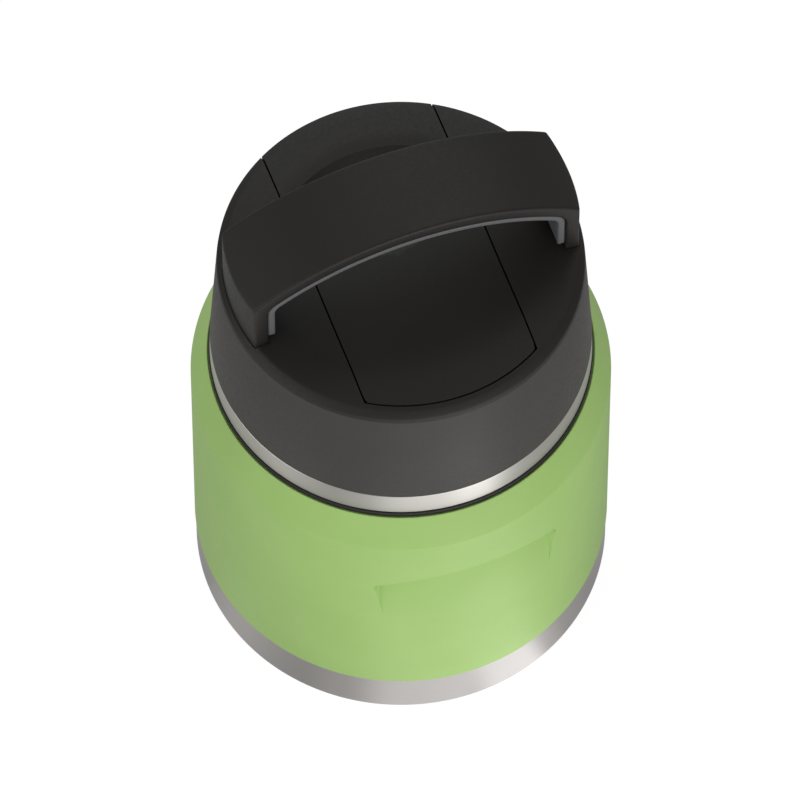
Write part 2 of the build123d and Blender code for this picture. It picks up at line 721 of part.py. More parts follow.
liner_outer = handle_inner - part_gap
liner_inner = handle_inner - liner_wall
strap_under_radius = arch_radius - handle_strap
liner_foot_z = seat_z + handle_seat + liner_toe_height
with BuildPart() as handle_shell:
    extrude(
        arch_section(
            seat_z,
            handle_radius + handle_leg,
            arch_radius,
            0,
            handle_inner,
            strap_under_radius,
            liner_bend + liner_wall,
        ),
        amount=handle_half,
        both=True,
    )
    with BuildSketch(Plane.XY.offset(seat_z - handle_seat)):
        Circle(handle_radius)
    extrude(amount=2 * handle_crown, mode=Mode.INTERSECT)
    end_edges = handle_shell.edges().filter_by(lambda e: abs(e.center().X) > handle_inner + handle_corner)
    fillet(end_edges.filter_by(lambda e: e.center().Z > liner_foot_z + handle_leg), handle_corner)
    with BuildSketch(Plane.XZ):
        with GridLocations(2 * handle_inner - liner_wall + part_gap, 0, 2, 1):
            with Locations((0, liner_foot_z - liner_toe_height / 2 - part_gap)):
                Rectangle(liner_wall + 3 * part_gap, liner_toe_height)
    extrude(amount=handle_half - liner_side_step - toe_gap, both=True)
    with BuildSketch(Plane.XY.offset(pad_z)):
        with GridLocations(2 * screw_x, 0, 2, 1):
            Circle(screw_shank_radius + screw_fit)
    extrude(amount=screw_length + screw_fit, mode=Mode.SUBTRACT)
save(handle_shell, "handle_shell")

with BuildPart() as handle_liner:
    extrude(
        arch_section(
            liner_foot_z,
            liner_outer,
            strap_under_radius - part_gap,
            liner_bend + liner_wall - part_gap,
            liner_inner,
            strap_under_radius - liner_wall,
            liner_bend,
        ),
        amount=handle_half - liner_side_step,
        both=True,
    )
save(handle_liner, "handle_liner")

# ---- Handle screws: driven up through the cover, one into each leg ----
with BuildPart() as handle_screws:
    with BuildSketch(Plane.XY.offset(pad_z - part_gap)):
        with GridLocations(2 * screw_x, 0, 2, 1):
            Circle(screw_shank_radius)
    extrude(amount=screw_length + part_gap)
    with BuildSketch(Plane.XY.offset(pad_z - part_gap)):
        with GridLocations(2 * screw_x, 0, 2, 1):
            Circle(screw_head_radius)
    extrude(amount=-screw_head_height)
save(handle_screws, "handle_screws")
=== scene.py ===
from math import atan2, cos, hypot, pi, radians, sin, sqrt, tan

import bmesh
import bpy
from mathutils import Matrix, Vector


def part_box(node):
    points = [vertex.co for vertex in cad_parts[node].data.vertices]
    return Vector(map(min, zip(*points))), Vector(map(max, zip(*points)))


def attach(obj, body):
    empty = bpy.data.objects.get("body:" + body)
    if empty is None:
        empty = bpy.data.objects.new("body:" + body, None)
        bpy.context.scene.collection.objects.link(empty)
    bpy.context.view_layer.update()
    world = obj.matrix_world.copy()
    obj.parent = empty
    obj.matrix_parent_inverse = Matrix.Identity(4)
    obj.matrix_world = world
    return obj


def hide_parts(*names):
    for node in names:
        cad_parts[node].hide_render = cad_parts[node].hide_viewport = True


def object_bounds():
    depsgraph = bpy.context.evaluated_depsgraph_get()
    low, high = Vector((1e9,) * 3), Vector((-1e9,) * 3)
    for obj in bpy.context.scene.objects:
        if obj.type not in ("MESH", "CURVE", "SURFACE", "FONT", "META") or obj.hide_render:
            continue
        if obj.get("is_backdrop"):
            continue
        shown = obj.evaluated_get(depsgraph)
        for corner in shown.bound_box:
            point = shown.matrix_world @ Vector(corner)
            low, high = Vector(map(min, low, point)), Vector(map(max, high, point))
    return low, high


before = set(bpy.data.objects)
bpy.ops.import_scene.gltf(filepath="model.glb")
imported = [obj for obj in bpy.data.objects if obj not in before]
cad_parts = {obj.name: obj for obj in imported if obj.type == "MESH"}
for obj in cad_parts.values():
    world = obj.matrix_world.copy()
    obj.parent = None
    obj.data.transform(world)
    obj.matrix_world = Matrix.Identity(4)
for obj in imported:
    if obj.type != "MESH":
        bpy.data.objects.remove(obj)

cad_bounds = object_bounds()
scene = bpy.context.scene
scene.view_settings.view_transform = "Standard"

# ---- Camera ----
# A long lens looks down on the jar from high in front, a little to the left of the name plate,
# and aims at the middle of the jar's height.
view_turn, view_rise, view_distance = radians(-20), radians(60.49), 2.85
aim_height = 0.0619
bpy.ops.object.camera_add(
    location=(
        view_distance * sin(view_turn) * cos(view_rise),
        -view_distance * cos(view_turn) * cos(view_rise),
        aim_height + view_distance * sin(view_rise),
    ),
    rotation=(pi / 2 - view_rise, 0, view_turn),
)
camera = bpy.context.active_object
camera.data.sensor_width = 36
camera.data.lens = 534.5
camera.data.clip_end = 30
camera.data.shift_x, camera.data.shift_y = -0.0011, 0.0007
scene.camera = camera

# ---- Floor ----
# A wide white table. It stays white to the eye and through glass, and keeps the soft shadow of the jar. In the steel
# and in the light it throws back on the jar, it glows in painted pools of light instead.
bpy.ops.mesh.primitive_plane_add(size=12)
floor = bpy.context.active_object
floor.name = "floor"
floor_finish = bpy.data.materials.new("floor_white_painted_pools")
floor_finish.use_nodes = True
floor_nodes, floor_links = floor_finish.node_tree.nodes, floor_finish.node_tree.links
floor_nodes.clear()
floor_rays = floor_nodes.new("ShaderNodeLightPath")
floor_seen = floor_nodes.new("ShaderNodeMath")
floor_seen.operation = "MAXIMUM"
floor_links.new(floor_rays.outputs["Is Camera Ray"], floor_seen.inputs[0])
floor_links.new(floor_rays.outputs["Is Transmission Ray"], floor_seen.inputs[1])
floor_matt = floor_nodes.new("ShaderNodeBsdfDiffuse")
floor_matt.inputs["Color"].default_value = (0.2, 0.2, 0.2, 1)
floor_clear = floor_nodes.new("ShaderNodeEmission")
floor_clear.inputs["Strength"].default_value = 0.9
floor_place = floor_nodes.new("ShaderNodeTexCoord")
floor_turn = floor_nodes.new("ShaderNodeTexGradient")
floor_turn.gradient_type = "RADIAL"
floor_links.new(floor_place.outputs["Object"], floor_turn.inputs["Vector"])
floor_painted_pools = floor_nodes.new("ShaderNodeValToRGB")
floor_painted_pools.color_ramp.interpolation = "EASE"
floor_painted_pools.color_ramp.elements.remove(floor_painted_pools.color_ramp.elements[1])
floor_painted_pools.color_ramp.elements[0].position = 0.0
# Painted pools of light, given off only to reflections and bounced light: turn about the jar from the front towards +X
# in degrees, and brightness.
pools = (
    (-90, 0.36),
    (-76, 0.45),
    (-50, 0.3),
    (-38, 0.4),
    (-20, 0.85),
    (0, 0.95),
    (10, 1.35),
    (20, 1.4),
    (28, 0.6),
    (36, 0.38),
    (50, 0.3),
    (120, 0.3),
)
pool_stops = floor_painted_pools.color_ramp.elements
for pool, (turn, level) in enumerate(pools):
    stop = pool_stops[0] if pool == 0 else pool_stops.new(turn / 360 + 0.25)
    stop.color = (level, level, level, 1)
# Painted light: the glow of the pools, seen in the steel and lighting the jar, brightest in front and to the right.
floor_painted_light = floor_nodes.new("ShaderNodeEmission")
floor_links.new(floor_turn.outputs["Fac"], floor_painted_pools.inputs["Fac"])
floor_links.new(floor_painted_pools.outputs["Color"], floor_painted_light.inputs["Color"])
# The eye and glass see plain white; reflections and bounced light see the painted pools.
floor_mix = floor_nodes.new("ShaderNodeMixShader")
floor_links.new(floor_seen.outputs[0], floor_mix.inputs["Fac"])
floor_links.new(floor_painted_light.outputs[0], floor_mix.inputs[1])
floor_links.new(floor_clear.outputs[0], floor_mix.inputs[2])
floor_all = floor_nodes.new("ShaderNodeAddShader")
floor_links.new(floor_mix.outputs[0], floor_all.inputs[0])
floor_links.new(floor_matt.outputs[0], floor_all.inputs[1])
floor_out = floor_nodes.new("ShaderNodeOutputMaterial")
floor_links.new(floor_all.outputs[0], floor_out.inputs["Surface"])
floor.data.materials.append(floor_finish)
floor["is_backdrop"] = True

# ---- Room and lamps ----
# A dim pale room that the eye sees as white, a broad soft box in front, and weaker ones
# at the left and at the back.
world = bpy.data.worlds.new("room")
scene.world = world
world.use_nodes = True
room_nodes, room_links = world.node_tree.nodes, world.node_tree.links
room_nodes.clear()
room_rays = room_nodes.new("ShaderNodeLightPath")
room_dim = room_nodes.new("ShaderNodeBackground")
room_dim.inputs["Color"].default_value = (0.3, 0.3, 0.3, 1)
room_white = room_nodes.new("ShaderNodeBackground")
room_white.inputs["Color"].default_value = (1, 1, 1, 1)
room_mix = room_nodes.new("ShaderNodeMixShader")
room_links.new(room_rays.outputs["Is Camera Ray"], room_mix.inputs["Fac"])
room_links.new(room_dim.outputs[0], room_mix.inputs[1])
room_links.new(room_white.outputs[0], room_mix.inputs[2])
room_out = room_nodes.new("ShaderNodeOutputWorld")
room_links.new(room_mix.outputs[0], room_out.inputs["Surface"])

# Each lamp: name, turn about the jar, rise above the floor, distance, size, watts.
for lamp_name, turn, rise, distance, size, watts in (
    ("front_box", 10, 22, 1.3, 1.0, 6.8),
    ("left_box", -85, 28, 1.3, 1.0, 5),
    ("back_box", 160, 42, 1.5, 1.3, 5.5),
):
    turn, rise = radians(turn), radians(rise)
    place = (distance * sin(turn) * cos(rise), -distance * cos(turn) * cos(rise), distance * sin(rise))
    bpy.ops.object.light_add(type="AREA", location=place, rotation=(pi / 2 - rise, 0, turn))
    lamp = bpy.context.active_object
    lamp.name = lamp_name
    lamp.data.size = size
    lamp.data.energy = watts


# ---- Jar wall ----
# Drawn steel shell of the jar with a coned shoulder and a bare name-plate recess in its front.
# It is powder coated green, and stands a quarter of a millimetre proud of the bare foot.
def turned(name, rings, steps=192):
    """Lathe work: a ring is (radius, height) or (radius, height, rounding), drawn out from one to the next."""
    bpy.ops.object.select_all(action="DESELECT")
    radius, height = rings[0][:2]
    bpy.ops.mesh.primitive_circle_add(vertices=steps, radius=radius)
    piece = bpy.context.active_object
    piece.name = piece.data.name = name
    bpy.ops.object.mode_set(mode="EDIT")
    bpy.ops.transform.translate(value=(0, 0, height))
    for next_radius, next_height in (ring[:2] for ring in rings[1:]):
        bpy.ops.mesh.extrude_edges_move(TRANSFORM_OT_translate={"value": (0, 0, next_height - height)})
        share = next_radius / radius
        bpy.ops.transform.resize(value=(share, share, 1), center_override=(0, 0, next_height))
        radius, height = next_radius, next_height
    bpy.ops.mesh.select_all(action="SELECT")
    bpy.ops.mesh.remove_doubles(threshold=1e-5)
    bpy.ops.mesh.normals_make_consistent(inside=False)
    closed = rings[0][:2] == rings[-1][:2]
    for index, ring in enumerate(rings[:-1] if closed else rings):
        if len(ring) == 3:
            before = rings[index - 1] if index else rings[-2]
            after = rings[index + 1]
            bend = atan2(after[1] - ring[1], after[0] - ring[0]) - atan2(ring[1] - before[1], ring[0] - before[0])
            bend = abs((bend + pi) % (2 * pi) - pi)
            pick(piece, lambda place: on_ring(place, ring[0], ring[1]))
            bpy.ops.mesh.bevel(
                offset=ring[2] * tan(bend / 2), segments=max(2, round(bend / 0.22)), affect="EDGES", clamp_overlap=False
            )
    bpy.ops.object.mode_set(mode="OBJECT")
    bpy.ops.object.shade_smooth_by_angle(angle=radians(32))
    return piece


def on_ring(place, radius, height):
    return abs(hypot(place.x, place.y) - radius) < 2e-5 and abs(place.z - height) < 2e-5


def pick(piece, wanted, fits=lambda edge: True):
    """Selects, in edit mode, the edges whose two ends are both wanted and which fit."""
    bpy.ops.mesh.select_mode(type="EDGE")
    bpy.ops.mesh.select_all(action="DESELECT")
    shape = bmesh.from_edit_mesh(piece.data)
    for edge in shape.edges:
        if all(wanted(vertex.co) for vertex in edge.verts) and fits(edge):
            edge.select_set(True)
    bmesh.update_edit_mesh(piece.data)


def join_shape(piece, tool, how):
    """Cuts a piece with a tool, or adds or keeps the tool's space, and takes the tool away."""
    bpy.ops.object.select_all(action="DESELECT")
    bpy.context.view_layer.objects.active = piece
    piece.select_set(True)
    bpy.ops.object.modifier_add(type="BOOLEAN")
    step = piece.modifiers[-1]
    step.operation, step.object, step.solver = how, tool, "EXACT"
    bpy.ops.object.modifier_apply(modifier=step.name)
    bpy.data.objects.remove(tool)


def finish(name, colour, roughness, metallic=0.0):
    """A material for one finish, and its shader."""
    material = bpy.data.materials.new(name)
    material.use_nodes = True
    shader = material.node_tree.nodes["Principled BSDF"]
    shader.inputs["Base Color"].default_value = (*colour, 1)
    shader.inputs["Roughness"].default_value = roughness
    shader.inputs["Metallic"].default_value = metallic
    return material, shader


def grain(material, scale, stretch=(1, 1, 1), detail=2):
    """Noise in the piece's own space, as fine as its scale, drawn out where stretch is small."""
    nodes, links = material.node_tree.nodes, material.node_tree.links
    place = nodes.new("ShaderNodeTexCoord")
    spread = nodes.new("ShaderNodeMapping")
    spread.inputs["Scale"].default_value = stretch
    noise = nodes.new("ShaderNodeTexNoise")
    noise.inputs["Scale"].default_value = scale
    noise.inputs["Detail"].default_value = detail
    links.new(place.outputs["Object"], spread.inputs["Vector"])
    links.new(spread.outputs["Vector"], noise.inputs["Vector"])
    return noise.outputs["Fac"]


def tint(material, shader, source, dark, light):
    """The colour drifts between two close shades."""
    nodes, links = material.node_tree.nodes, material.node_tree.links
    ramp = nodes.new("ShaderNodeValToRGB")
    ramp.color_ramp.elements[0].position, ramp.color_ramp.elements[1].position = 0.3, 0.7
    ramp.color_ramp.elements[0].color, ramp.color_ramp.elements[1].color = (*dark, 1), (*light, 1)
    links.new(source, ramp.inputs["Fac"])
    links.new(ramp.outputs["Color"], shader.inputs["Base Color"])


def sheen_spots(material, shader, source, low, high):
    """The roughness wanders between two values."""
    nodes, links = material.node_tree.nodes, material.node_tree.links
    reach = nodes.new("ShaderNodeMapRange")
    reach.inputs["From Min"].default_value, reach.inputs["From Max"].default_value = 0.3, 0.7
    reach.inputs["To Min"].default_value, reach.inputs["To Max"].default_value = low, high
    links.new(source, reach.inputs["Value"])
    links.new(reach.outputs["Result"], shader.inputs["Roughness"])


def relief(material, shader, source, depth):
    """The surface rises and falls by a depth in metres."""
    nodes, links = material.node_tree.nodes, material.node_tree.links
    bump = nodes.new("ShaderNodeBump")
    bump.inputs["Distance"].default_value = depth
    links.new(source, bump.inputs["Height"])
    links.new(bump.outputs["Normal"], shader.inputs["Normal"])


wall_low, wall_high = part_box("outer_shell")
wall_radius, wall_foot, shoulder_height = wall_high.x, wall_low.z, wall_high.z
wall_sheet = 0.0006
wall_edge_height = 0.079
shoulder_radius = 0.0462
neck_hole_radius = 0.04125
shoulder_step = 0.0008
jar_wall = turned(
    "jar_wall",
    [
        (wall_radius - wall_sheet, wall_foot),
        (wall_radius, wall_foot, 0.0002),
        (wall_radius, wall_edge_height, 0.0017),
        (shoulder_radius, shoulder_height, 0.0003),
        (shoulder_radius - 0.0003, shoulder_height - shoulder_step),
        (neck_hole_radius, shoulder_height - shoulder_step),
        (neck_hole_radius, shoulder_height - wall_sheet - shoulder_step),
        (shoulder_radius - 1.2 * wall_sheet, shoulder_height - wall_sheet - shoulder_step),
        (wall_radius - wall_sheet, wall_edge_height - wall_sheet / 3),
        (wall_radius - wall_sheet, wall_foot),
    ],
    steps=256,
)

# The recess has an arched top edge. It is pressed in deepest under that edge and runs out to nothing at its foot.
plate_top, plate_foot, plate_arch = 0.0601, 0.0438, 0.0049
plate_top_half, plate_foot_half = 0.0243, 0.0212
plate_depth, plate_draft, plate_slope, plate_corner = 0.0030, 0.0018, 0.0006, 0.0012


def wrapped(name, margin, skin, outside):
    """A slab with the form of the recess, drawn flat and then bent round the jar. Depth counts inwards."""
    bpy.ops.object.select_all(action="DESELECT")
    bpy.ops.mesh.primitive_cube_add(size=2)
    slab = bpy.context.active_object
    slab.name = name
    top, foot = plate_top + margin, plate_foot
    slab_depth, slab_slices, slice_width, slab_layers = 0.003, 30, 0.0009, 12
    for vertex in slab.data.vertices:
        side, deep, up = vertex.co
        half = (plate_top_half if up > 0 else plate_foot_half) + margin
        height = foot if up < 0 else top if deep < 0 else top - plate_slope
        vertex.co = (side * half, slab_depth if deep > 0 else -outside, height)
    bpy.ops.object.mode_set(mode="EDIT")
    pick(
        slab,
        lambda place: place.z > (top + foot) / 2 and abs(place.x) > plate_foot_half * 0.8,
        lambda edge: abs(edge.verts[0].co.y - edge.verts[1].co.y) >= 1e-6,
    )
    bpy.ops.mesh.bevel(offset=plate_corner, segments=5, affect="EDGES")
    for step in range(-slab_slices, slab_slices + 1):
        bpy.ops.mesh.select_all(action="SELECT")
        bpy.ops.mesh.bisect(plane_co=(step * slice_width, 0, 0), plane_no=(1, 0, 0))
    for step in range(1, slab_layers):
        bpy.ops.mesh.select_all(action="SELECT")
        bpy.ops.mesh.bisect(plane_co=(0, 0, foot + (top - foot) * step / slab_layers), plane_no=(0, 0, 1))
    bpy.ops.object.mode_set(mode="OBJECT")
    for vertex in slab.data.vertices:
        x, depth, z = vertex.co
        share = max(0, (z - plate_foot) / (plate_top - plate_foot))
        if depth > slab_depth / 2:
            sunk = share**2.3
            depth = skin + plate_depth * sunk
            x *= 1 - plate_draft * sunk / plate_top_half
        z += plate_arch * share * (1 - (x / plate_top_half) ** 2)
        angle, radius = x / wall_radius, wall_radius - depth
        vertex.co = (radius * sin(angle), -radius * cos(angle), z)
    return slab


plate_tool = wrapped("plate_tool", 0, -0.00002, 0.0002)
plate_back = wrapped("plate_back", 0.001, wall_sheet * 1.05, -wall_sheet / 2)
join_shape(jar_wall, plate_back, "UNION")
join_shape(jar_wall, plate_tool, "DIFFERENCE")
bpy.ops.object.shade_smooth_by_angle(angle=radians(18))

green_coat, green_shader = finish("green_powder_coat", (0.37, 0.575, 0.175), 0.5)
green_shader.inputs["Specular IOR Level"].default_value = 0.3
tint(green_coat, green_shader, grain(green_coat, 60), (0.362, 0.57, 0.166), (0.382, 0.592, 0.18))
sheen_spots(green_coat, green_shader, grain(green_coat, 900), 0.44, 0.52)
relief(green_coat, green_shader, grain(green_coat, 1500, detail=3), 0.00002)
jar_wall.data.materials.clear()
jar_wall.data.materials.append(green_coat)
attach(jar_wall, "jar")
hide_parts("outer_shell")

# ---- Foot ----
# Bare steel cup welded into the bottom of the shell. Its band is brushed round and round,
# and underneath it stands on a ring round a shallow hollow, with the sealed pump hole in the middle.
foot_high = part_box("base_cup")[1]
foot_radius, foot_lip_height = foot_high.x, foot_high.z
foot_band_height = 0.0128
foot_sheet, foot_hollow = 0.0010, 0.0012
foot_edge = 0.0004
foot_inner = foot_radius - foot_edge - 0.0071
foot_lip_radius = wall_radius - wall_sheet - 0.00005
foot_hole_radius = 0.0020
jar_foot = turned(
    "jar_foot",
    [
        (foot_hole_radius, foot_hollow, 0.0002),
        (foot_inner - foot_hollow, foot_hollow, 0.0012),
        (foot_inner, 0, 0.0010),
        (foot_radius - foot_edge, 0),
        (foot_radius, foot_edge),
        (foot_radius, foot_band_height),
        (foot_lip_radius, foot_band_height),
        (foot_lip_radius, foot_lip_height),
        (foot_lip_radius - wall_sheet, foot_lip_height),
        (foot_lip_radius - wall_sheet, foot_sheet, 0.0010),
        (foot_inner + foot_sheet, foot_sheet),
        (foot_inner - foot_sheet, foot_hollow + foot_sheet),
        (foot_hole_radius, foot_hollow + foot_sheet),
        (foot_hole_radius, foot_hollow),
    ],
    steps=256,
)
brushed_steel, brushed_shader = finish("brushed_foot_steel", (0.53, 0.505, 0.49), 0.34, metallic=1.0)
brushed_shader.inputs["Anisotropic"].default_value = 0.5
brushed_lines = grain(brushed_steel, 60, stretch=(1, 1, 60), detail=4)
sheen_spots(brushed_steel, brushed_shader, brushed_lines, 0.32, 0.46)
relief(brushed_steel, brushed_shader, brushed_lines, 0.00001)
jar_foot.data.materials.append(brushed_steel)
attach(jar_foot, "jar")
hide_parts("base_cup")

# ---- Jar neck ----
# Short bare steel neck, welded to the shoulder and to the rolled rim of the food cup.
# One turn of rounded thread is rolled into it, right-handed, and runs out at both ends.
def ridge(name, root, crest, sunk, start, start_turn, pitch, turns, root_half=0.0009, crest_half=0.0004, steps=180):
    """One start of a screw thread: it climbs round the axis and fades out at both ends."""
    fade_share = 1 / 12
    shape = bmesh.new()
    rows = []
    for step in range(steps + 1):
        share = step / steps
        fade = min(1, share / fade_share, (1 - share) / fade_share)
        turn = start_turn + 2 * pi * turns * share
        middle, reach = start + pitch * turns * share, root + (crest - root) * fade
        row = [
            (sunk, middle - root_half),
            (root, middle - root_half),
            (reach, middle - crest_half),
            (reach, middle + crest_half),
            (root, middle + root_half),
            (sunk, middle + root_half),
        ]
        rows.append([shape.verts.new((radius * cos(turn), radius * sin(turn), height)) for radius, height in row])
    for near, far in zip(rows, rows[1:]):
        for corner in range(6):
            after = (corner + 1) % 6
            shape.faces.new((near[corner], near[after], far[after], far[corner]))
    shape.faces.new(rows[0])
    shape.faces.new(reversed(rows[-1]))
    bmesh.ops.recalc_face_normals(shape, faces=shape.faces)
    mesh = bpy.data.meshes.new(name)
    shape.to_mesh(mesh)
    shape.free()
    piece = bpy.data.objects.new(name, mesh)
    scene.collection.objects.link(piece)
    return piece


def welded(piece, *others):
    """Pieces of one material become one piece."""
    bpy.ops.object.select_all(action="DESELECT")
    for other in others:
        other.select_set(True)
    piece.select_set(True)
    bpy.context.view_layer.objects.active = piece
    bpy.ops.object.join()
    bpy.ops.object.shade_smooth_by_angle(angle=radians(32))


neck_low, neck_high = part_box("neck_ring")
neck_radius, neck_foot, neck_top = neck_high.x, neck_low.z, neck_high.z
thread_pitch, thread_start, thread_depth = 0.0050, 0.0912, 0.0009
jar_neck = turned(
    "jar_neck",
    [
        (neck_radius - wall_sheet, neck_foot),
        (neck_radius, neck_foot),
        (neck_radius, neck_top),
        (neck_radius - wall_sheet, neck_top),
        (neck_radius - wall_sheet, neck_foot),
    ],
)
thread_root = neck_radius - wall_sheet / 2
neck_thread = ridge(
    "neck_thread", neck_radius, neck_radius + thread_depth, thread_root, thread_start, 0, thread_pitch, 1
)
welded(jar_neck, neck_thread)
neck_steel, neck_shader = finish("bright_neck_steel", (0.62, 0.60, 0.58), 0.26, metallic=1.0)
neck_lines = grain(neck_steel, 80, stretch=(1, 1, 40), detail=3)
sheen_spots(neck_steel, neck_shader, neck_lines, 0.2, 0.32)
relief(neck_steel, neck_shader, neck_lines, 0.000005)
jar_neck.data.materials.append(neck_steel)
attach(jar_neck, "jar")
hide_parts("neck_ring")

# ---- Food cup ----
# Inner vessel that holds the food, drawn from one sheet of steel with a deep round bend at its floor.
# It narrows to the mouth, and its rim is rolled over the top of the neck. Satin all over.
cup_low, cup_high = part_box("inner_vessel")
cup_radius, cup_foot, rim_height = cup_high.x, cup_low.z, cup_high.z
mouth_radius, rim_hem = 0.0393, 0.00115
cup_shoulder_height, cup_neck_height = 0.0772, 0.0853
food_cup = turned(
    "food_cup",
    [
        (1e-6, cup_foot),
        (cup_radius, cup_foot, 0.0096),
        (cup_radius, cup_shoulder_height, 0.0020),
        (mouth_radius + wall_sheet, cup_neck_height, 0.0015),
        (mouth_radius + wall_sheet, rim_height - rim_hem),
        (neck_radius, rim_height - rim_hem),
        (neck_radius, rim_height, 0.0005),
        (mouth_radius, rim_height, 0.0005),
        (mouth_radius, cup_neck_height, 0.0015),
        (cup_radius - wall_sheet, cup_shoulder_height, 0.0020),
        (cup_radius - wall_sheet, cup_foot + wall_sheet, 0.0090),
        (1e-6, cup_foot + wall_sheet),
    ],
)
cup_steel, cup_shader = finish("satin_cup_steel", (0.60, 0.585, 0.57), 0.34, metallic=1.0)
cup_lines = grain(cup_steel, 60, stretch=(1, 1, 30), detail=3)
sheen_spots(cup_steel, cup_shader, cup_lines, 0.28, 0.4)
relief(cup_steel, cup_shader, cup_lines, 0.000006)
food_cup.data.materials.append(cup_steel)
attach(food_cup, "jar")
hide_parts("inner_vessel")

# ---- Vacuum plug and getter ----
# The bead of glass solder in the pump hole under the foot, and the getter pellet below the food cup.
# The glass is dark and glossy, the pellet is a dull grey sintered metal.
plug_glass, plug_glass_shader = finish("solder_glass_bead", (0.03, 0.035, 0.04), 0.12)
sheen_spots(plug_glass, plug_glass_shader, grain(plug_glass, 900), 0.08, 0.2)
relief(plug_glass, plug_glass_shader, grain(plug_glass, 600), 0.00004)
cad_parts["vacuum_plug"].material_slots[0].material = plug_glass
getter_grey, getter_shader = finish("getter_pellet", (0.17, 0.17, 0.18), 0.7, metallic=0.6)
tint(getter_grey, getter_shader, grain(getter_grey, 1500), (0.14, 0.14, 0.15), (0.2, 0.2, 0.21))
relief(getter_grey, getter_shader, grain(getter_grey, 2500, detail=4), 0.00005)
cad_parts["getter"].material_slots[0].material = getter_grey

# ---- Seals ----
# Two rings of milky silicone: a flat one that the lid presses on the rim of the food cup,
# and a wiper with two soft lips in the groove of the plug, which fits inside the mouth.
rim_seal_low, rim_seal_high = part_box("rim_seal")
rim_seal_inner, rim_seal_outer = 0.0387, rim_seal_high.x
rim_ring = turned(
    "rim_ring",
    [
        (rim_seal_inner, rim_seal_low.z, 0.0003),
        (rim_seal_outer, rim_seal_low.z, 0.0003),
        (rim_seal_outer, rim_seal_high.z, 0.0003),
        (rim_seal_inner, rim_seal_high.z, 0.0003),
        (rim_seal_inner, rim_seal_low.z, 0.0003),
    ],
)
silicone, silicone_shader = finish("milky_silicone", (0.60, 0.61, 0.62), 0.45)
silicone_shader.inputs["Subsurface Weight"].default_value = 0.3
silicone_shader.inputs["Subsurface Radius"].default_value = (0.002, 0.002, 0.002)
sheen_spots(silicone, silicone_shader, grain(silicone, 900), 0.38, 0.55)
relief(silicone, silicone_shader, grain(silicone, 2000), 0.00001)
rim_ring.data.materials.append(silicone)
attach(rim_ring, "rim_seal")
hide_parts("rim_seal")

wiper_low, wiper_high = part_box("plug_seal")
wiper_inner, wiper_outer, wiper_lip = 0.0379, wiper_high.x, 0.0004
wiper_quarter = (wiper_high.z - wiper_low.z) / 4
wiper_ring = turned(
    "wiper_ring",
    [
        (wiper_inner, wiper_low.z),
        (wiper_outer - wiper_lip, wiper_low.z, 0.0001),
        (wiper_outer, wiper_low.z + wiper_quarter, 0.0004),
        (wiper_outer - wiper_lip, wiper_low.z + 2 * wiper_quarter, 0.0003),
        (wiper_outer, wiper_low.z + 3 * wiper_quarter, 0.0004),
        (wiper_outer - wiper_lip, wiper_high.z, 0.0001),
        (wiper_inner, wiper_high.z),
        (wiper_inner, wiper_low.z),
    ],
)
wiper_ring.data.materials.append(silicone)
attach(wiper_ring, "plug_seal")
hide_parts("plug_seal")

# ---- Stopper ----
# Dark moulding inside the lid: a hollow plug with a groove for the wiper, a deck over the rim,
# and a collar round the neck with one turn of thread, which pulls up under the thread of the neck.
stopper_low, stopper_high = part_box("stopper")
plug_foot, collar_foot, deck_top = stopper_low.z, 0.08915, stopper_high.z
deck_foot = deck_top - 0.0018
plug_radius, groove_radius, plug_hollow = 0.0384, 0.0376, 0.0358
groove_foot, groove_top = 0.0906, 0.0946
collar_bore, collar_radius = 0.0423, 0.0438
stopper = turned(
    "lid_stopper",
    [
        (1e-6, plug_foot),
        (plug_radius - 0.0014, plug_foot, 0.0004),
        (plug_radius, plug_foot + 0.0014, 0.0004),
        (plug_radius, groove_foot),
        (groove_radius, groove_foot),
        (groove_radius, groove_top),
        (plug_radius, groove_top),
        (plug_radius, deck_foot),
        (collar_bore, deck_foot),
        (collar_bore, collar_foot, 0.0003),
        (collar_radius, collar_foot, 0.0003),
        (collar_radius, deck_top),
        (plug_hollow, deck_top),
        (plug_hollow, plug_foot + 0.0018, 0.0010),
        (1e-6, plug_foot + 0.0018),
    ],
)
thread_drop = 0.0015
collar_turns = 0.88
collar_start = 2 * pi * (1 - collar_turns)
collar_thread = ridge(
    "collar_thread",
    collar_bore,
    collar_bore - 0.0008,
    collar_bore + 0.0003,
    thread_start - thread_drop + thread_pitch * (1 - collar_turns),
    collar_start,
    thread_pitch,
    collar_turns,
)
welded(stopper, collar_thread)
stopper_plastic, stopper_shader = finish("dark_stopper_moulding", (0.022, 0.022, 0.023), 0.45)
tint(stopper_plastic, stopper_shader, grain(stopper_plastic, 50), (0.020, 0.020, 0.021), (0.025, 0.025, 0.026))
sheen_spots(stopper_plastic, stopper_shader, grain(stopper_plastic, 1200), 0.4, 0.52)
relief(stopper_plastic, stopper_shader, grain(stopper_plastic, 3000, detail=3), 0.000012)
stopper.data.materials.append(stopper_plastic)
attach(stopper, "lid")
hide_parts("stopper")

# ---- Lid foam ----
# Cream insulating foam, foamed into the plug and the space below the spoon tray.
# It is rigid, with a fine open-celled skin.
foam_cells, foam_shader = finish("cream_foam", (0.80, 0.76, 0.62), 0.9)
tint(foam_cells, foam_shader, grain(foam_cells, 200), (0.76, 0.72, 0.58), (0.84, 0.80, 0.66))
relief(foam_cells, foam_shader, grain(foam_cells, 1800, detail=4), 0.0001)
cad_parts["lid_foam"].material_slots[0].material = foam_cells

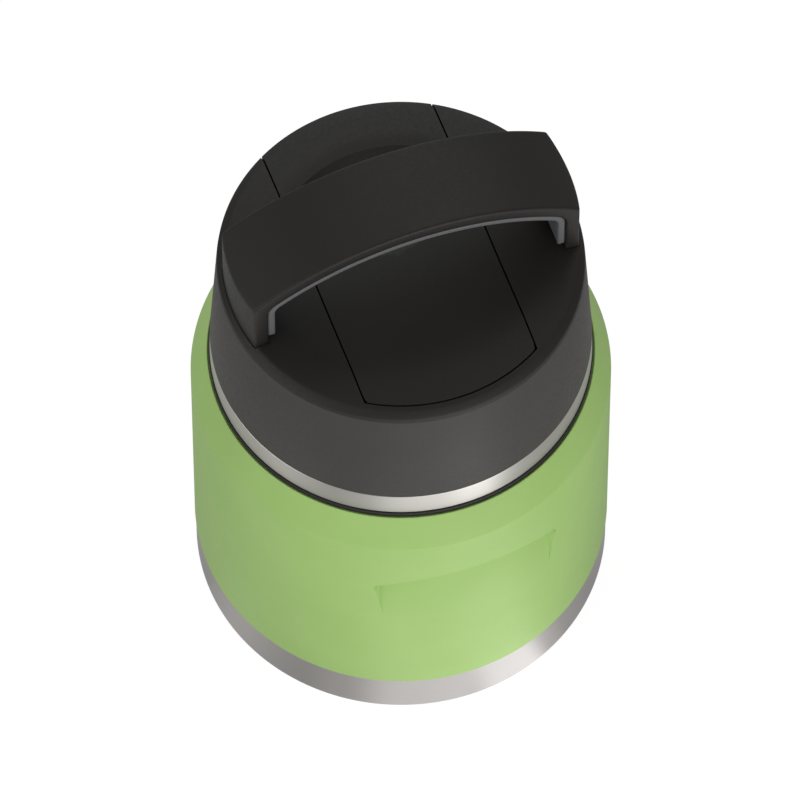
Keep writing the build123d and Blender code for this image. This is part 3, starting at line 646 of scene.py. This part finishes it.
# ---- Trim band ----
# Thin satin steel band pressed round the foot of the lid, folded in under its edge.
band_low, band_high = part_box("lid_trim_ring")
band_radius, band_foot, band_top = band_high.x, band_low.z, band_high.z
band_top_radius = band_radius - 0.00014
band_sheet, band_fold = 0.00045, 0.0015
trim_band = turned(
    "trim_band",
    [
        (band_radius - band_fold, band_foot),
        (band_radius, band_foot, 0.0004),
        (band_top_radius, band_top, 0.00012),
        (band_top_radius - band_sheet, band_top),
        (band_radius - band_sheet, band_foot + band_sheet),
        (band_radius - band_fold, band_foot + band_sheet),
        (band_radius - band_fold, band_foot),
    ],
    steps=256,
)
trim_steel, trim_shader = finish("satin_trim_steel", (0.66, 0.63, 0.605), 0.34, metallic=1.0)
trim_shader.inputs["Anisotropic"].default_value = 0.6
trim_shader.inputs["Anisotropic Rotation"].default_value = 0.25
trim_lines = grain(trim_steel, 60, stretch=(1, 1, 60), detail=4)
sheen_spots(trim_steel, trim_shader, trim_lines, 0.3, 0.4)
relief(trim_steel, trim_shader, trim_lines, 0.000006)
trim_band.data.materials.append(trim_steel)
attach(trim_band, "lid")
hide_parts("lid_trim_ring")

# Under the band a thin black ring, carried with the lid, nearly closes the gap to the shoulder and makes the line under
# the band black.
lip_foot, lip_inner, lip_radius, lip_gap = 0.08705, 0.0442, 0.0458, 0.00002
foot_lip = turned(
    "foot_lip",
    [
        (lip_inner, lip_foot),
        (lip_radius, lip_foot, 0.0002),
        (lip_radius, band_foot - lip_gap),
        (lip_inner, band_foot - lip_gap),
        (lip_inner, lip_foot),
    ],
    steps=256,
)
# Near-black ring colour, which darkens the line between the band and the shoulder.
lip_black, lip_shader = finish("black_ring_under_band", (0.014, 0.013, 0.012), 0.6)
sheen_spots(lip_black, lip_shader, grain(lip_black, 1200), 0.55, 0.65)
relief(lip_black, lip_shader, grain(lip_black, 3500, detail=3), 0.00001)
foot_lip.data.materials.append(lip_black)
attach(foot_lip, "lid")
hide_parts("lid_trim_ring")

# ---- Lid cone ----
# Moulded grey side wall of the lid, satin outside, with a skirt behind the trim band.
# Its rim has a shallow gap at the back, where the spoon door slides out.
skirt_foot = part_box("lid_shell")[0].z
parting_height = 0.1278
cone_foot_radius, cone_top_radius = 0.04540, 0.04346
cone_inner_radius = cone_top_radius - 0.0016
skirt_radius, skirt_inner_radius = 0.04490, 0.04385
cone_step_height = 0.10305
lid_cone = turned(
    "lid_cone",
    [
        (skirt_inner_radius, skirt_foot),
        (skirt_radius, skirt_foot),
        (skirt_radius, band_top + 0.00005),
        (cone_foot_radius, band_top + 0.00005, 0.00015),
        (cone_top_radius, parting_height, 0.00012),
        (cone_inner_radius, parting_height),
        (skirt_inner_radius - 0.0008, cone_step_height + 0.0008),
        (skirt_inner_radius, cone_step_height),
        (skirt_inner_radius, skirt_foot),
    ],
    steps=256,
)
def block(name, low, high):
    """A plain block between two corners, as a start or a tool."""
    bpy.ops.object.select_all(action="DESELECT")
    bpy.ops.mesh.primitive_cube_add(size=1)
    piece = bpy.context.active_object
    piece.name = piece.data.name = name
    for vertex in piece.data.vertices:
        vertex.co = [low[axis] if vertex.co[axis] < 0 else high[axis] for axis in range(3)]
    return piece


groove_half, rim_gap_depth = 0.02268, 0.00139
rim_gap = block("rim_gap", (-groove_half, 0.03, parting_height - rim_gap_depth), (groove_half, 0.06, 0.14))
join_shape(lid_cone, rim_gap, "DIFFERENCE")
bpy.ops.object.shade_smooth_by_angle(angle=radians(25))

grey_plastic, grey_shader = finish("grey_moulding", (0.055, 0.051, 0.048), 0.5)
grey_shader.inputs["Specular IOR Level"].default_value = 0.15
tint(grey_plastic, grey_shader, grain(grey_plastic, 40), (0.054, 0.050, 0.048), (0.060, 0.056, 0.053))
sheen_spots(grey_plastic, grey_shader, grain(grey_plastic, 1200), 0.42, 0.52)
relief(grey_plastic, grey_shader, grain(grey_plastic, 3500, detail=3), 0.000015)
lid_cone.data.materials.clear()
lid_cone.data.materials.append(grey_plastic)
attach(lid_cone, "lid")
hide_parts("lid_shell")

# ---- Lid top and spoon door ----
# One crowned and dished black form, moulded in two pieces: the C-shaped top, which snaps into the cone,
# and the tongue-shaped door, which slides out to the back in two grooves. A fine seam runs round the door.
crown_sphere, crown_rim_radius, crown_rim_height = 0.390, 0.0432, 0.13025
fall_radius = 0.0415
top_edge_height, top_edge_radius, top_edge_round = 0.1292, 0.0433, 0.0006
dish_radius, dish_depth, dish_round = 0.0330, 0.0012, 0.0012
crown_centre = crown_rim_height - sqrt(crown_sphere**2 - crown_rim_radius**2)
dish_sphere = (dish_radius**2 + dish_depth**2) / (2 * dish_depth)
dish_edge_height = crown_centre + sqrt(crown_sphere**2 - dish_radius**2)
dish_centre = dish_edge_height - dish_depth + dish_sphere
flange_height = 0.12641
top_skirt_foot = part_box("lid_cover")[0].z
top_skirt_radius, top_skirt_inner = 0.04170, 0.04060
top_thickness = 0.0022


def dished(radius):
    return dish_centre - sqrt(dish_sphere**2 - radius**2)


def crowned(radius):
    return crown_centre + sqrt(crown_sphere**2 - radius**2)


def dished_cap(name, under):
    """The whole crowned and dished top, from its middle out to its edge, and back in underneath."""
    axis_radius = 1e-6
    dish_steps = [dish_radius * step / 10 for step in range(1, 10)]
    crown_steps = [dish_radius + (fall_radius - dish_radius) * step / 3 for step in (1, 2)]
    return turned(
        name,
        [(axis_radius, dished(0))]
        + [(radius, dished(radius)) for radius in dish_steps]
        + [(dish_radius, dish_edge_height, dish_round / tan(0.08))]
        + [(radius, crowned(radius)) for radius in crown_steps]
        + [(fall_radius, crowned(fall_radius), 0.0015)]
        + [(top_edge_radius, top_edge_height, top_edge_round), (cone_top_radius, parting_height)]
        + under
        + [(axis_radius, under[-1][1])],
        steps=256,
    )


def tongue(name, half, front, corner, low, high, back=0.06):
    """The door's outline as a tall prism: straight sides, and a front edge that follows the lid's."""
    bpy.ops.object.select_all(action="DESELECT")
    bpy.ops.mesh.primitive_cylinder_add(vertices=360, radius=front, depth=high - low, location=(0, 0, (low + high) / 2))
    piece = bpy.context.active_object
    piece.name = piece.data.name = name
    bpy.ops.object.transform_apply(location=True, rotation=True, scale=True)
    join_shape(piece, block("behind", (-front, 0, low), (front, back, high)), "UNION")
    join_shape(piece, block("sides", (-half, -0.06, low - 0.001), (half, back + 0.001, high + 0.001)), "INTERSECT")
    bpy.ops.object.mode_set(mode="EDIT")
    corner_y = -sqrt(front**2 - half**2)
    pick(piece, lambda place: abs(abs(place.x) - half) < 1e-5 and place.y < corner_y + 1e-5)
    bpy.ops.mesh.bevel(offset=corner * 0.75, segments=8, affect="EDGES")
    bpy.ops.object.mode_set(mode="OBJECT")
    return piece


door_half, door_front, door_corner = 0.02118, 0.04011, 0.0030
seam = 0.0004
handle_half, handle_radius, handle_inner = 0.0114, 0.0420, 0.0370
seat_height, seat_gap, screw_room_top = 0.1296, 0.00015, 0.1273
lid_top = dished_cap(
    "lid_top",
    [
        (top_skirt_radius, parting_height),
        (top_skirt_radius, top_skirt_foot),
        (top_skirt_inner, top_skirt_foot),
        (top_skirt_inner, flange_height),
    ],
)
# Tools that cut right through reach below and above the whole top.
tool_foot, tool_top = 0.12, 0.15
opening = tongue("opening", door_half + seam, door_front + seam, door_corner + seam, 0.10, tool_top)
join_shape(lid_top, opening, "DIFFERENCE")
screw_room_inner, screw_room_half, tool_reach = 0.0348, 0.005, 0.05
for side in (-1, 1):
    seat_radius, seat_half = handle_radius + seat_gap, handle_half + seat_gap
    seat = turned("seat", [(1e-6, seat_height), (seat_radius, seat_height), (seat_radius, tool_top), (1e-6, tool_top)])
    seat_near, seat_far = sorted((side * (handle_inner - seat_gap), side * tool_reach))
    seat_limit = block("seat_limit", (seat_near, -seat_half, tool_foot), (seat_far, seat_half, 0.16))
    join_shape(seat, seat_limit, "INTERSECT")
    join_shape(lid_top, seat, "DIFFERENCE")
    room_near, room_far = sorted((side * screw_room_inner, side * tool_reach))
    screw_room = block(
        "screw_room", (room_near, -screw_room_half, tool_foot), (room_far, screw_room_half, screw_room_top)
    )
    join_shape(lid_top, screw_room, "DIFFERENCE")
rail_front, rail_gap = -0.0280, 0.0002
grooves = block("grooves", (-groove_half, rail_front - rail_gap, tool_foot), (groove_half, 0.06, parting_height))
join_shape(lid_top, grooves, "DIFFERENCE")
bpy.ops.object.shade_smooth_by_angle(angle=radians(25))

black_plastic, black_shader = finish("black_moulding", (0.018, 0.0165, 0.0157), 0.5)
black_shader.inputs["Specular IOR Level"].default_value = 0.34
tint(black_plastic, black_shader, grain(black_plastic, 40), (0.0140, 0.0124, 0.0112), (0.0158, 0.0140, 0.0127))
sheen_spots(black_plastic, black_shader, grain(black_plastic, 1200), 0.46, 0.56)
relief(black_plastic, black_shader, grain(black_plastic, 3500, detail=3), 0.000015)
lid_top.data.materials.clear()
lid_top.data.materials.append(black_plastic)
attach(lid_top, "lid")
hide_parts("lid_cover")

# The door's rails run in the grooves, and a finger scoop behind the handle moves it.
door_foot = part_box("spoon_door")[0].z
rail_half, rail_top = 0.02248, parting_height - 0.0001
door_rim = cone_top_radius - 0.00005
door_panel = dished_cap("door_panel", [(door_rim, parting_height), (door_rim, door_foot)])
join_shape(door_panel, tongue("door_outline", door_half, door_front, door_corner, tool_foot, tool_top), "INTERSECT")
rails = turned("rails", [(1e-6, door_foot), (door_rim, door_foot), (door_rim, rail_top), (1e-6, rail_top)], steps=256)
join_shape(rails, block("rail_limit", (-rail_half, rail_front, tool_foot), (rail_half, 0.06, 0.14)), "INTERSECT")
join_shape(door_panel, rails, "UNION")
pocket_wall, pocket_corner, pocket_back, pocket_top = 0.0016, 0.0010, -0.0016, dished(0) - top_thickness
pocket = tongue("pocket", door_half - pocket_wall, door_front - pocket_wall, pocket_corner, tool_foot, pocket_top)
join_shape(pocket, block("pocket_limit", (-0.06, pocket_back, 0.11), (0.06, 0.07, tool_top)), "DIFFERENCE")
join_shape(door_panel, pocket, "DIFFERENCE")
# The scoop is a shallow ball hollow, and a cone round the lid's axis gives it its leaning back wall.
scoop_radius, scoop_y, scoop_floor, scoop_sphere = 0.0301, 0.0200, 0.12789, 0.0782
scoop_centre, scoop_step = scoop_floor + scoop_sphere, 0.0022
scoop_rings = [
    (max(1e-6, step * scoop_step), scoop_centre - sqrt(scoop_sphere**2 - (step * scoop_step) ** 2))
    for step in range(12)
]
scoop = turned("scoop", scoop_rings + [(scoop_rings[-1][0], 0.14), (1e-6, 0.14)])
for vertex in scoop.data.vertices:
    vertex.co.y += scoop_y
scoop_edge, scoop_above = dished(scoop_radius), 0.003
scoop_lean = 1.3
scoop_wall = turned(
    "scoop_wall",
    [
        (1e-6, door_foot),
        (scoop_radius - scoop_lean * (scoop_edge - door_foot), door_foot),
        (scoop_radius + scoop_lean * scoop_above, scoop_edge + scoop_above),
        (1e-6, scoop_edge + scoop_above),
    ],
    steps=256,
)
join_shape(scoop, scoop_wall, "INTERSECT")
join_shape(door_panel, scoop, "DIFFERENCE")
bpy.ops.object.shade_smooth_by_angle(angle=radians(25))
door_panel.data.materials.clear()
door_panel.data.materials.append(black_plastic)
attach(door_panel, "spoon_door")
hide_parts("spoon_door")

# ---- Spoon tray ----
# Matte black moulded box that hangs in the lid under the door. Its flange is welded below the cover,
# and the door slides on it.
tray_low, tray_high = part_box("spoon_tray")
tray_foot, tray_top = tray_low.z, tray_high.z
tray_sheet = 0.0015
tray_half, tray_front, tray_back, tray_corner = 0.01688, 0.03541, 0.0321, 0.0040
flange_half, flange_front, flange_circle = 0.02478, 0.04131, 0.04055
spoon_box = tongue(
    "spoon_box",
    tray_half + tray_sheet,
    tray_front + tray_sheet,
    tray_corner + tray_sheet,
    tray_foot,
    tray_top - tray_sheet / 2,
    back=tray_back + tray_sheet,
)
flange = turned(
    "flange",
    [
        (1e-6, tray_top - tray_sheet),
        (flange_circle, tray_top - tray_sheet),
        (flange_circle, tray_top),
        (1e-6, tray_top),
    ],
)
join_shape(flange, tongue("flange_limit", flange_half, flange_front, 0.0016, 0.11, 0.14), "INTERSECT")
join_shape(spoon_box, flange, "UNION")
hollow = tongue("hollow", tray_half, tray_front, tray_corner, tray_foot + tray_sheet, 0.14, back=tray_back)
bpy.ops.object.mode_set(mode="EDIT")
pick(hollow, lambda place: place.z < tray_foot + tray_sheet + 1e-5)
bpy.ops.mesh.bevel(offset=0.0012, segments=4, affect="EDGES")
bpy.ops.object.mode_set(mode="OBJECT")
join_shape(spoon_box, hollow, "DIFFERENCE")
bpy.ops.object.shade_smooth_by_angle(angle=radians(25))
tray_plastic, tray_shader = finish("matte_tray_moulding", (0.020, 0.020, 0.021), 0.6)
tint(tray_plastic, tray_shader, grain(tray_plastic, 60), (0.018, 0.018, 0.019), (0.023, 0.023, 0.024))
sheen_spots(tray_plastic, tray_shader, grain(tray_plastic, 1200), 0.55, 0.66)
relief(tray_plastic, tray_shader, grain(tray_plastic, 3000, detail=3), 0.00002)
spoon_box.data.materials.clear()
spoon_box.data.materials.append(tray_plastic)
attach(spoon_box, "lid")
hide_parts("spoon_tray")

# ---- Folding spoon ----
# Polished steel spoon, lying folded in the tray: an egg-shaped bowl with a short stem, and over it
# a flat handle with round ends, held together by one dome-headed rivet.
bowl_low, bowl_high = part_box("spoon_bowl")
bowl_top, bowl_front = bowl_high.z, bowl_low.y
bowl_half_width, bowl_half_length, bowl_depth, spoon_sheet = bowl_high.x, 0.0230, 0.0060, 0.0012
bowl_middle = bowl_front + bowl_half_length
rivet_y, stem_half = 0.0244, 0.0050


def bowl_ring(share, lower):
    """A ring of the bowl at a share of its half width, on its inside or a sheet lower."""
    return bowl_half_width * share, bowl_top - bowl_depth * (1 - share**2.4) - lower


bowl_shares = [0.0001] + [step / 12 for step in range(1, 12)] + [0.97]
bowl = turned(
    "spoon_bowl_cup",
    [bowl_ring(share, spoon_sheet * 0.98) for share in bowl_shares]
    + [(bowl_half_width, bowl_top - spoon_sheet * 0.75, 0.0002), (bowl_half_width, bowl_top, 0.0003)]
    + [bowl_ring(share, 0) for share in reversed(bowl_shares)],
)
for vertex in bowl.data.vertices:
    x, y, z = vertex.co
    along = y / bowl_half_width
    vertex.co = (x * (1 - 0.1 * along - 0.06 * (1 - along**2)), bowl_middle + along * bowl_half_length, z)
stem_start, stem_foot = bowl_middle + bowl_half_length - 0.0035, bowl_top - spoon_sheet
stem = block("stem", (-stem_half, stem_start, stem_foot), (stem_half, rivet_y, bowl_top))


def slotted(name, half, first, last, low, high):
    """A flat bar along Y with round ends."""
    bpy.ops.object.select_all(action="DESELECT")
    bpy.ops.mesh.primitive_cylinder_add(
        vertices=96, radius=half, depth=high - low, location=(0, first, (low + high) / 2)
    )
    piece = bpy.context.active_object
    piece.name = piece.data.name = name
    bpy.ops.object.transform_apply(location=True, rotation=True, scale=True)
    for vertex in piece.data.vertices:
        if vertex.co.y > first + 1e-6:
            vertex.co.y += last - first
    return piece


stem_end = slotted("stem_end", stem_half, rivet_y - 0.0001, rivet_y, stem_foot, bowl_top)
join_shape(stem, stem_end, "UNION")
join_shape(bowl, stem, "UNION")
bpy.ops.object.shade_smooth_by_angle(angle=radians(35))
spoon_steel, spoon_shader = finish("polished_spoon_steel", (0.64, 0.625, 0.61), 0.16, metallic=1.0)
spoon_marks = grain(spoon_steel, 300, stretch=(8, 1, 1), detail=3)
sheen_spots(spoon_steel, spoon_shader, spoon_marks, 0.12, 0.24)
relief(spoon_steel, spoon_shader, spoon_marks, 0.000003)
bowl.data.materials.clear()
bowl.data.materials.append(spoon_steel)
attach(bowl, "lid")
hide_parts("spoon_bowl")

grip_bar_low, grip_bar_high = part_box("spoon_handle")
grip_bar_half = grip_bar_high.x
spoon_grip = slotted(
    "spoon_grip",
    grip_bar_half,
    grip_bar_low.y + grip_bar_half,
    grip_bar_high.y - grip_bar_half,
    grip_bar_low.z,
    grip_bar_high.z,
)
bpy.ops.object.mode_set(mode="EDIT")
pick(spoon_grip, lambda place: place.z > grip_bar_high.z - 1e-6)
bpy.ops.mesh.bevel(offset=0.0005, segments=4, affect="EDGES")
bpy.ops.object.mode_set(mode="OBJECT")
bpy.ops.object.shade_smooth_by_angle(angle=radians(35))
spoon_grip.data.materials.append(spoon_steel)
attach(spoon_grip, "lid")
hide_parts("spoon_handle")

rivet_low, rivet_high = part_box("spoon_rivet")
rivet_head, rivet_head_radius, rivet_shank_radius = 0.0007, 0.0032, 0.0020
rivet = turned(
    "spoon_pin",
    [
        (1e-6, rivet_low.z),
        (rivet_head_radius, rivet_low.z, 0.0004),
        (rivet_head_radius, rivet_low.z + rivet_head),
        (rivet_shank_radius, rivet_low.z + rivet_head),
        (rivet_shank_radius, rivet_high.z - rivet_head),
        (rivet_head_radius, rivet_high.z - rivet_head),
        (rivet_head_radius, rivet_high.z, 0.0005),
        (1e-6, rivet_high.z),
    ],
    steps=64,
)
for vertex in rivet.data.vertices:
    vertex.co.y += rivet_y
rivet.data.materials.append(spoon_steel)
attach(rivet, "lid")
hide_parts("spoon_rivet")

# ---- Handle ----
# A black arch moulded in one with its two legs, which stand in seats in the lid and are screwed from below.
# A soft grey liner is moulded onto its inside, from foot to foot.
grip_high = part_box("handle_shell")[1]
arch_radius = 0.06808
arch_centre = grip_high.z - arch_radius
strap, leg_inner_round = 0.0036, 0.00485
handle_corner_round, handle_edge_round = 0.0015, 0.0006


def arch_outline(foot, outer_x, outer_radius, outer_round, inner_x, inner_radius, inner_round):
    """Outline of the arch seen from the front, one side after the other, with its corners rounded."""

    def side(x, radius, rounding):
        """From foot to crown, up one side: a straight leg, a rounded corner, and half of the arch."""
        lean = (radius - rounding) ** 2 - (x - rounding) ** 2
        corner = (x - rounding, arch_centre + sqrt(lean))
        start = atan2(corner[1] - arch_centre, corner[0])
        turns = [start * step / 6 for step in range(7)]
        line = [(x, foot + (corner[1] - foot) * step / 6) for step in range(6)]
        line += [(corner[0] + rounding * cos(turn), corner[1] + rounding * sin(turn)) for turn in turns]
        sweep = [start + (pi / 2 - start) * step / 32 for step in range(1, 33)]
        return line + [(radius * cos(turn), arch_centre + radius * sin(turn)) for turn in sweep]

    outer, inner = side(outer_x, outer_radius, outer_round), side(inner_x, inner_radius, inner_round)
    outer += [(-x, z) for x, z in reversed(outer[:-1])]
    inner += [(-x, z) for x, z in reversed(inner[:-1])]
    return outer, inner


def arched(name, outer, inner, half, slices):
    """A strip of the arch between its outer and inner lines, drawn out along Y in slices."""
    bpy.ops.object.select_all(action="DESELECT")
    bpy.ops.mesh.primitive_grid_add(x_subdivisions=len(outer) - 1, y_subdivisions=1, size=1)
    piece = bpy.context.active_object
    piece.name = piece.data.name = name
    columns = sorted({round(vertex.co.x, 5) for vertex in piece.data.vertices}, reverse=True)
    for vertex in piece.data.vertices:
        line = outer if vertex.co.y > 0 else inner
        x, z = line[columns.index(round(vertex.co.x, 5))]
        vertex.co = (x, -half, z)
    bpy.ops.object.mode_set(mode="EDIT")
    bpy.ops.mesh.select_all(action="SELECT")
    for _ in range(slices):
        bpy.ops.mesh.extrude_region_move(TRANSFORM_OT_translate={"value": (0, 2 * half / slices, 0)})
    bpy.ops.mesh.select_all(action="SELECT")
    bpy.ops.mesh.normals_make_consistent(inside=False)
    bpy.ops.object.mode_set(mode="OBJECT")
    return piece


def is_rim(edge):
    """True for an edge along the rim of a strip's front or back, and not across its flat side."""
    return not all(abs(face.normal.y) > 0.9 for face in edge.link_faces)


outer_line, inner_line = arch_outline(
    seat_height, handle_radius, arch_radius, handle_corner_round, handle_inner, arch_radius - strap, leg_inner_round
)
handle_arch = arched("handle_arch", outer_line, inner_line, handle_half, 24)
# The outside of each leg follows the round of the lid.
for vertex in handle_arch.data.vertices:
    x, y, z = vertex.co
    if abs(x) > handle_inner + 1e-6:
        reach = (sqrt(handle_radius**2 - y**2) - handle_inner) / (handle_radius - handle_inner)
        moved = handle_inner + (abs(x) - handle_inner) * reach
        if z > arch_centre + sqrt((arch_radius - strap) ** 2 - handle_inner**2):
            z += sqrt(arch_radius**2 - moved**2) - sqrt(arch_radius**2 - x**2)
        vertex.co = (moved if x > 0 else -moved, y, z)
bpy.ops.object.mode_set(mode="EDIT")
pick(
    handle_arch,
    lambda place: abs(abs(place.y) - handle_half) < 1e-6 and place.z > seat_height + 1e-4,
    is_rim,
)
bpy.ops.mesh.bevel(offset=handle_edge_round, segments=4, affect="EDGES", clamp_overlap=False)
bpy.ops.object.mode_set(mode="OBJECT")
bpy.ops.object.shade_smooth_by_angle(angle=radians(35))
handle_arch.data.materials.append(black_plastic)
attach(handle_arch, "lid")
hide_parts("handle_shell")

liner_low, liner_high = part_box("handle_liner")
liner_half, liner_thickness, liner_bend = liner_high.y, 0.00185, 0.0030
liner_gap = 0.00005
outer_line, inner_line = arch_outline(
    liner_low.z,
    handle_inner - liner_gap,
    arch_radius - strap - liner_gap,
    leg_inner_round - liner_gap,
    handle_inner - liner_thickness,
    arch_radius - strap - liner_thickness,
    liner_bend,
)
handle_pad = arched("handle_pad", outer_line, inner_line, liner_half, 12)
bpy.ops.object.mode_set(mode="EDIT")
pick(handle_pad, lambda place: abs(abs(place.y) - liner_half) < 1e-6, is_rim)
bpy.ops.mesh.bevel(offset=0.0005, segments=3, affect="EDGES", clamp_overlap=False)
# The liner's two feet are rounded.
pick(
    handle_pad,
    lambda place: place.z < liner_low.z + 1e-6,
    lambda edge: abs(edge.verts[0].co.x - edge.verts[1].co.x) <= 1e-6,
)
bpy.ops.mesh.bevel(offset=0.0007, segments=4, affect="EDGES")
bpy.ops.object.mode_set(mode="OBJECT")
bpy.ops.object.shade_smooth_by_angle(angle=radians(35))
liner_rubber, liner_shader = finish("grey_liner", (0.12, 0.122, 0.128), 0.6)
tint(liner_rubber, liner_shader, grain(liner_rubber, 60), (0.115, 0.117, 0.123), (0.125, 0.127, 0.133))
relief(liner_rubber, liner_shader, grain(liner_rubber, 2500, detail=2), 0.000015)
handle_pad.data.materials.append(liner_rubber)
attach(handle_pad, "lid")
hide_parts("handle_liner")

# The two steel screws that hold the legs from below.
screw_steel, screw_shader = finish("screw_steel", (0.58, 0.57, 0.56), 0.3, metallic=1.0)
sheen_spots(screw_steel, screw_shader, grain(screw_steel, 800), 0.22, 0.38)
relief(screw_steel, screw_shader, grain(screw_steel, 1500), 0.00001)
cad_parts["handle_screws"].material_slots[0].material = screw_steel

size = {"cad": [list(corner) for corner in cad_bounds], "visual": [list(corner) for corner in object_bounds()]}
